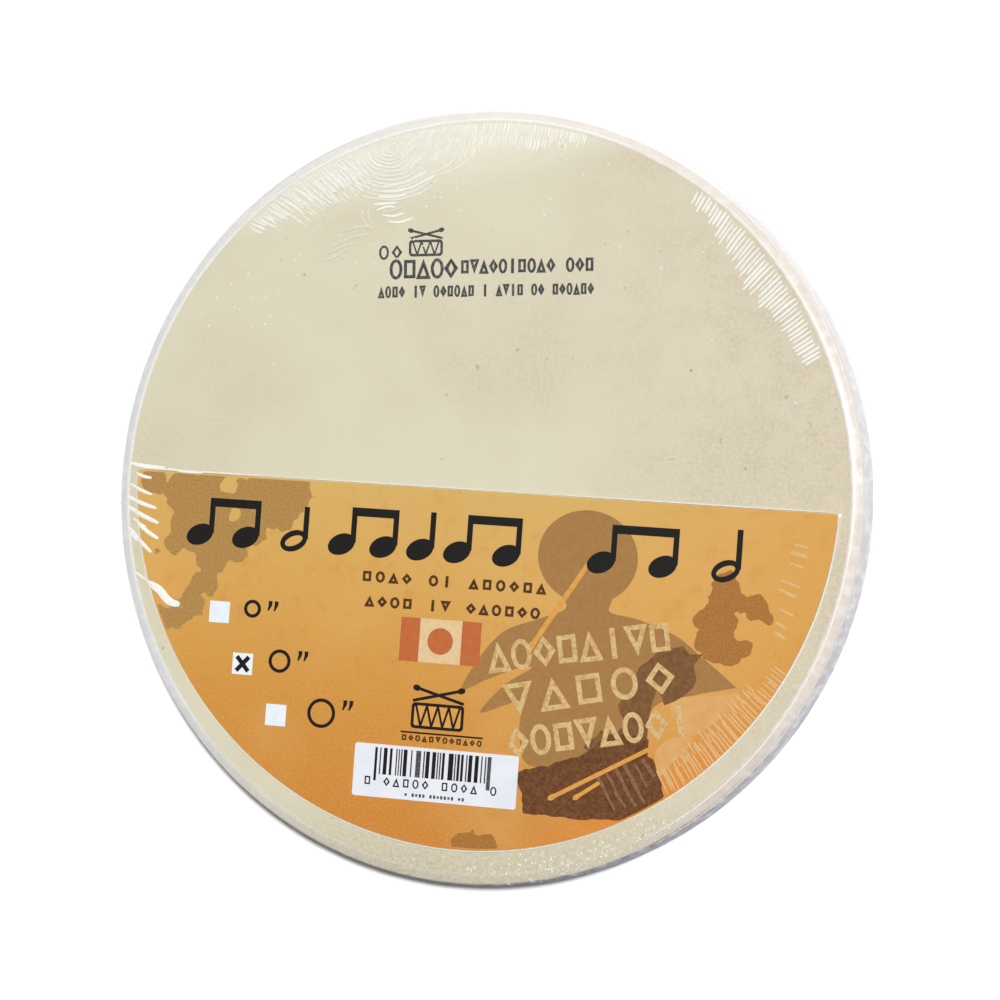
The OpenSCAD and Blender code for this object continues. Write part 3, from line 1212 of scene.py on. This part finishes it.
def make_film_front():
    turns = 600
    edge_r = 97.6   # the face is triangles out to here, and rings follow
    rim_r = 99.4    # the rings up to here are evenly spaced
    clear_r = 98.4  # the film over the face is clear up to here, and carries the painted glare of the rim further out
    rim = [polar(360 * k / turns, edge_r) for k in range(turns)]
    flat = [Vector(p) for p in rim + face_points(edge_r)]
    loop = [(k, (k + 1) % turns) for k in range(turns)]
    spots, _, triangles, *_ = delaunay_2d_cdt(flat, loop, [], 1, 1e-4)
    index = {(round(p.x, 3), round(p.y, 3)): i for i, p in enumerate(spots)}
    first_ring = [index[(round(x, 3), round(y, 3))] for x, y in rim]

    points = [film_point(p.x, p.y) for p in spots]
    faces = [tuple(t) for t in triangles]
    runs = list(np.linspace(edge_r, rim_r, 4)[1:])
    runs += [float(s) for s in film_run if rim_r < s < FILM_END]
    gaps = [b - a for a, b in zip(runs, runs[1:] + [FILM_END])]
    fuller = []
    for s, gap in zip(runs, gaps):
        parts = max(1, round(gap / 1.1))
        fuller += [s + gap * k / parts for k in range(parts)]
    fuller.append(FILM_END)
    before = first_ring
    for s in fuller:
        ring = []
        for k in range(turns):
            a = 2 * math.pi * k / turns
            ring.append(len(points))
            points.append(film_point(s * math.cos(a), s * math.sin(a)))
        for k in range(turns):
            n = (k + 1) % turns
            faces.append((before[k], ring[k], ring[n], before[n]))
        before = ring
    film = piece("shrink_film_front", points, faces, [FILM_FLAT, FILM_RIM_GLARE, FILM_SIDE_GLARE], "film", smooth=60)
    for polygon in film.data.polygons:
        middle = polygon.center / MM
        out = math.hypot(middle.x, middle.y)
        on_face = middle.z > FACE_Z - BEVEL_DROP * 0.6
        polygon.material_index = 2 if not on_face else 0 if out < clear_r else 1
    skin = film.modifiers.new("skin", "SOLIDIFY")
    skin.thickness = FILM_T * MM
    skin.offset = -1
    applied(film)
    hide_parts("film_front")


def make_film_back():
    """Film across the underside, a little slack, and closed on its two faces."""
    rings = [2, 6, 12, 20, 30, 42, 54, 64, 73, 80, 85, 89, 92, 94.5, 96.5, 98, SEAM_R - 0.1]
    room = BACK_HIGH.z - BACK_LOW.z

    def lift(a, r):
        wave = soft_noise(r * math.cos(a), r * math.sin(a), 2, 9)
        pleat = soft_noise(math.cos(a) * 26, math.sin(a) * 26, r * 0.02, 1) * slope((r - 60) / 38)
        return 0.3 * room * (1 + 0.5 * wave + 0.5 * pleat)

    turns = 480
    upper = [(r, 0.0) for r in rings]
    path = [(0, 0.0)] + upper + [(r, -FILM_T) for r in reversed(rings)] + [(0, -FILM_T)]
    levels = rings + rings[::-1]

    def wobble(a, i):
        return 0, BACK_LOW.z + FILM_T + lift(a, levels[i])

    path[0] = (0, BACK_LOW.z + FILM_T + 0.3 * room)
    path[-1] = (0, BACK_LOW.z + 0.3 * room)
    back = piece("shrink_film_back", *lathe(path, turns, wobble), FILM_UNDER, "film", smooth=60)
    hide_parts("film_back")


# ------------------------------------------------------------------ creases in the film

class Creases:
    """Small raised folds of the film, each a closed tapered ridge that follows a path."""

    def __init__(self, name, material):
        self.name, self.material = name, material
        self.points, self.faces = [], []

    def fold(self, path, width, height):
        """A fold along a path of points on the rolled-out film. It tapers to its ends."""
        spots = [Vector(p) for p in path]
        n = len(spots)
        across = (-1.0, -0.6, 0.0, 0.6, 1.0)
        first = len(self.points)
        for i, p in enumerate(spots):
            along = spots[min(i + 1, n - 1)] - spots[max(i - 1, 0)]
            taper = math.sin(math.pi * (i + 0.35) / (n - 0.3)) ** 0.28
            side = Vector((-along.y, along.x)).normalized()
            out = film_normal(p.x, p.y)
            for u in across:
                q = p + side * (u * width / 2 * taper)
                rise = height * taper * (1 - u * u)
                self.points.append(film_point(q.x, q.y) + out * (rise - 0.004))
            for u in (0.7, -0.7):
                q = p + side * (u * width / 2 * taper)
                self.points.append(film_point(q.x, q.y) - out * 0.02)
        size = len(across) + 2
        for i in range(n - 1):
            a, b = first + i * size, first + (i + 1) * size
            for k in range(size):
                m = (k + 1) % size
                self.faces.append((a + k, b + k, b + m, a + m))
        last = first + (n - 1) * size
        self.faces.append(tuple(first + k for k in range(size)))
        self.faces.append(tuple(last + k for k in reversed(range(size))))

    def stroke(self, controls, width, height, count=9):
        """A fold along a smooth curve through a few points."""
        self.fold(curve_through(controls, count), width, height)

    def done(self):
        return piece(self.name, self.points, self.faces, self.material, "film", smooth=50)


def curve_through(controls, count):
    """count points on a smooth open curve through the controls."""
    pts = [Vector(p) for p in controls]
    pts = [pts[0] * 2 - pts[1]] + pts + [pts[-1] * 2 - pts[-2]]
    spans = len(pts) - 3
    path = []
    for i in range(count):
        place = spans * i / (count - 1)
        k = min(int(place), spans - 1)
        t = place - k
        path.append(spline(*pts[k:k + 4], t))
    return path


def comb(creases, start, end, count, outer, lengths, slant, width, height, wander=0.3):
    """A row of short folds side by side, between two angles in degrees. outer is the run of their outer
    ends and lengths their lengths, each a (first, middle, last). slant turns their inner ends back."""
    def between(three, t):
        a, b, c = three
        return a + (b - a) * 2 * t if t < 0.5 else b + (c - b) * (2 * t - 1)
    for k in range(count):
        t = (k + random.uniform(-wander, wander)) / (count - 1)
        t = min(max(t, 0), 1)
        angle = start + (end - start) * t
        far = between(outer, t) + random.uniform(-0.5, 0.5)
        length = between(lengths, t) * random.uniform(0.75, 1.15)
        near = far - length
        swing = math.degrees(slant * length / far)
        bend = swing * random.uniform(0.35, 0.65)
        middle = polar(angle + bend, (far + near) / 2)
        creases.stroke([polar(angle, far), middle, polar(angle + swing, near)],
                       width * random.uniform(0.75, 1.25), height * random.uniform(0.7, 1.2), 7)


LOW_FOLD = 0.03                 # height of most folds
LEFT_SLANT = -0.42              # how the gathers at the upper left lean
SWIRL = Vector((-25.6, 91.6))   # middle of the swirl in the film at the top


def whorl(creases, radius, start, end, width):
    """An arc of the swirl, between two angles in degrees."""
    path = []
    for i in range(9):
        u, v = polar(start + (end - start) * i / 8, radius)
        drift = 0.5 * soft_noise(u, v, 3, 3.5)
        path.append(SWIRL + Vector((u * 1.2, v * 0.96)) * (1 + drift / radius))
    creases.stroke([p for p in path if p.length < 98.2], width, LOW_FOLD, 16)


def along_rim(creases, start, end, run, width, height, wander=0.0):
    """A fold round the pad, between two angles in degrees. wander is how far it strays in and out."""
    steps = max(int(abs(end - start) / 1.5), 4)
    path = []
    for k in range(steps + 1):
        a = start + (end - start) * k / steps
        path.append(polar(a, run + wander * soft_noise(a * 0.12, run, 2, 1)))
    creases.fold(path, width, height)


def fold_top(bold, fine, faint):
    # Gathers along the upper rim, from the left round to the swirl
    comb(fine, 132, 111.5, 32, (97.2, 98.0, 97.8), (3.6, 9.5, 8), LEFT_SLANT, 0.68, LOW_FOLD, 0.15)
    comb(bold, 131, 112.5, 20, (96.2, 96.2, 95.6), (2.5, 6, 5), LEFT_SLANT, 0.5, LOW_FOLD, 0.3)
    comb(fine, 125, 111, 14, (90.4, 90.0, 89.6), (2.5, 3, 3), LEFT_SLANT, 0.5, LOW_FOLD, 0.4)

    # Arcs of the swirl where the gathers from the two sides meet
    for radius, start, sweep in (
            (1.0, 40, 250), (2.0, 150, 290), (3.0, 20, 140), (3.1, 190, 150), (4.0, 130, 230)):
        whorl(fine, radius, start, start + sweep, 0.45)
    for k in range(9):
        radius = 4.9 + 1.1 * k
        split = random.uniform(230, 290)
        whorl(fine if k % 3 else bold, radius, 184 + 3 * k, split, 0.5)
        whorl(fine, radius + 0.2, split + 5, 338 - 2 * k, 0.5)

    # Gathers that stand nearly straight along the rim to the right, and lean into the swirl at their
    # left end
    for row, (count, share) in enumerate(((58, 0.25), (54, 0.2), (44, 0.4))):
        for k in range(count):
            t = (k + random.uniform(-0.3, 0.3)) / (count - 1)
            x = -20 + 48 * t
            lean = max(0.22, 0.9 - 1.7 * t)
            rim_y = math.sqrt(98.3 ** 2 - x ** 2)
            high = rim_y - 3.2 * row - random.uniform(0, 0.9)
            low_end = high - random.uniform(2.2, 3.8)
            if rim_y - low_end > 12.5 - 7 * t:
                continue
            sweep = (high - low_end) * lean
            (bold if random.random() < share else fine).stroke(
                [(x, high), (x - sweep * 0.4, (high + low_end) / 2), (x - sweep, low_end)],
                random.uniform(0.34, 0.5), LOW_FOLD, 6)
    for controls in (
            ((-16.5, 86.4), (-12.0, 89.6), (-9.5, 92.6)), ((-17.0, 88.6), (-13.4, 91.4), (-11.4, 94.4)),
            ((-15.0, 84.6), (-9.5, 87.0), (-6.0, 90.0)), ((-11.5, 84.4), (-6.5, 86.6), (-3.5, 89.0))):
        fine.stroke(controls, 0.5, LOW_FOLD, 10)

    # Single folds below the swirl
    for controls in (
            ((-28.5, 80.6), (-20.5, 81.2), (-13.0, 84.6)), ((-27.5, 82.0), (-21.0, 83.0), (-15.5, 85.8)),
            ((-29.0, 79.2), (-25.0, 79.0), (-21.0, 79.6)), ((-30.0, 77.2), (-26.5, 77.4), (-23.5, 77.6)),
            ((-29.4, 75.6), (-26.0, 76.6), (-24.0, 76.2)), ((-27.5, 74.4), (-24.5, 74.0), (-21.5, 74.8)),
            ((-26.0, 72.6), (-22.5, 72.4), (-19.0, 73.4))):
        bold.stroke(controls, 0.6, LOW_FOLD, 12)
    for controls in (
            ((-31.0, 78.5), (-31.6, 75.5), (-31.0, 72.6)), ((-42.0, 66.0), (-36.5, 68.4), (-31.5, 69.4)),
            ((-43.0, 64.2), (-38.0, 66.4), (-35.0, 66.8)), ((-45.0, 62.4), (-40.5, 63.6), (-36.0, 66.0)),
            ((-38.0, 70.4), (-34.0, 71.4), (-31.0, 71.2)), ((-33.4, 74.8), (-32.6, 72.4), (-30.2, 70.8)),
            ((-27.5, 75.0), (-23.5, 75.8), (-20.0, 77.4))):
        faint.stroke(controls, 0.6, LOW_FOLD, 10)

    # Comb of gathers on the right
    comb(bold, 53.6, 21.5, 48, (98.0, 97.0, 97.2), (3.6, 8.6, 5.0), -0.15, 0.58, 0.035, 0.06)


def fold_over_card(bold, fine, warm):
    # Long folds over the left end of the card
    for (ax, ay), (bx, by), width in (
            ((-98, -0.6), (-88, -1.3), 1.1), ((-87, -1.4), (-77, -2), 0.6),
            ((-97.5, -6.2), (-91, -8.7), 0.9), ((-98, -9.6), (-89.5, -12.3), 1.1),
            ((-97.8, -12.3), (-88.6, -16.2), 1.2), ((-96, -15.4), (-92, -17.6), 0.8),
            ((-94.6, -16.6), (-88.3, -20.4), 1.1), ((-96.5, -19.4), (-93, -21.8), 0.9),
            ((-97, -18), (-90, -24.2), 1.1), ((-96, -3.2), (-91.5, -4.2), 0.9)):
        middle = ((ax + bx) / 2, (ay + by) / 2 - 0.25)
        bold.stroke([card_to_pad(*p) for p in ((ax, ay), middle, (bx, by))], width, 0.08)
    broad = ((-90.5, -32.2), (-87.0, -34.0), (-84.0, -36.8), (-80.8, -37.6))
    bold.stroke([card_to_pad(*p) for p in broad], 2.2, 0.12, 14)
    fine.stroke([card_to_pad(*p) for p in ((-95.0, -29.5), (-91.5, -31.6), (-88.0, -33.6))], 0.9, 0.15)

    # Short folds over the round edge of the card on the right
    comb(warm, -29, -56, 40, (93.9, 93.3, 92.3), (4.0, 6.4, 6.0), 0.12, 0.5, LOW_FOLD)
    comb(warm, -34, -52, 16, (89.0, 88.4, 88.0), (3.0, 4.0, 3.0), 0.12, 0.45, LOW_FOLD, 0.4)
    comb(warm, -8, -24, 8, (88.0, 88.6, 89.0), (4.0, 4.6, 4.0), 0.12, 0.9, LOW_FOLD)


def fold_at_edges(bold, fine, faint):
    # The film is creased where it bends down off the card
    for a, b, width in ((-178, -150, 0.34), (-150, -62, 0.28), (-62, -2.5, 0.42)):
        arc = [card_to_pad(*[c * (CARD_R + 0.3) for c in polar(a + (b - a) * k / 60, 1)])
               for k in range(61)]
        fine.fold(arc, width, 0.07)
    for a, b, width in ((-94, -60, 0.5), (-60, 20, 0.3), (20, 94, 0.36)):
        fine.fold([card_to_pad(a + (b - a) * k / 40, -CARD_CUT + 0.3) for k in range(41)], width, 0.06)

    # Lines along the rim, where the film turns over the edges of the rubber
    along_rim(bold, 66, 121, 98.9, 0.62, 0.04, 0.15)
    along_rim(fine, 121, 196, 98.8, 0.9, LOW_FOLD, 0.2)
    along_rim(fine, -62, 62, 98.9, 0.5, LOW_FOLD, 0.2)
    along_rim(faint, -62, 50, 101.5, 0.8, LOW_FOLD, 0.25)


def pucker(bold, fine, faint, draw):
    """Specks where the film has puckered."""
    upper_left, bottom, right = 130, 170, 30
    for k in range(upper_left + bottom + right):
        if k < upper_left:
            angle, run = draw.uniform(92, 150), draw.triangular(62, 96, 88)
        elif k < upper_left + bottom:
            angle, run = draw.triangular(-92, -54, -76), draw.triangular(93, 102, 98)
        else:
            angle, run = draw.uniform(10, 100), draw.uniform(70, 96)
        spot = Vector(polar(angle, run))
        lean = draw.uniform(0, math.pi)
        reach = draw.uniform(0.12, 0.42)
        ends = Vector((math.cos(lean), math.sin(lean))) * reach
        sheet = bold if draw.random() < 0.15 else fine if draw.random() < 0.6 else faint
        sheet.fold(
            [spot - ends, spot - ends * 0.4, spot + ends * 0.4, spot + ends],
            draw.uniform(0.25, 0.5), 0.02)


def gather_sides(gathers, draw):
    # Gathers down the left side, where the film is clear, and in to the seam all round
    side_start = 102.6
    angle = 100.0
    while angle < 280:
        top = side_start + draw.uniform(0, 5)
        low = top + draw.uniform(3, 9)
        lean = draw.uniform(-0.6, 0.6)
        middle = polar(angle + lean * 0.6, (top + low) / 2)
        gathers.stroke([polar(angle, top), middle, polar(angle + lean, low)],
                       draw.uniform(0.25, 0.6), draw.uniform(0.01, 0.02), 7)
        angle += draw.uniform(0.8, 3.2)
    angle = 0.0
    while angle < 360:
        start = FILM_END - draw.uniform(3.2, 4.6)
        gathers.stroke([polar(angle, start), polar(angle + draw.uniform(-0.4, 0.4), FILM_END - 0.4)],
                       draw.uniform(0.4, 0.9), 0.04, 5)
        angle += draw.uniform(0.9, 2.2)


def make_creases():
    bold = Creases("film_folds_bold", CREASE_BOLD)
    fine = Creases("film_folds_fine", CREASE_FINE)
    faint = Creases("film_folds_faint", CREASE_FAINT)
    warm = Creases("film_folds_warm", CREASE_WARM)
    gathers = Creases("film_folds_side", CREASE_SIDE)
    fold_top(bold, fine, faint)
    fold_over_card(bold, fine, warm)
    fold_at_edges(bold, fine, faint)
    draw = random.Random(5)
    pucker(bold, fine, faint, draw)
    gather_sides(gathers, draw)
    for creases in (bold, fine, faint, warm, gathers):
        creases.done()


make_film_front()
make_film_back()
make_creases()
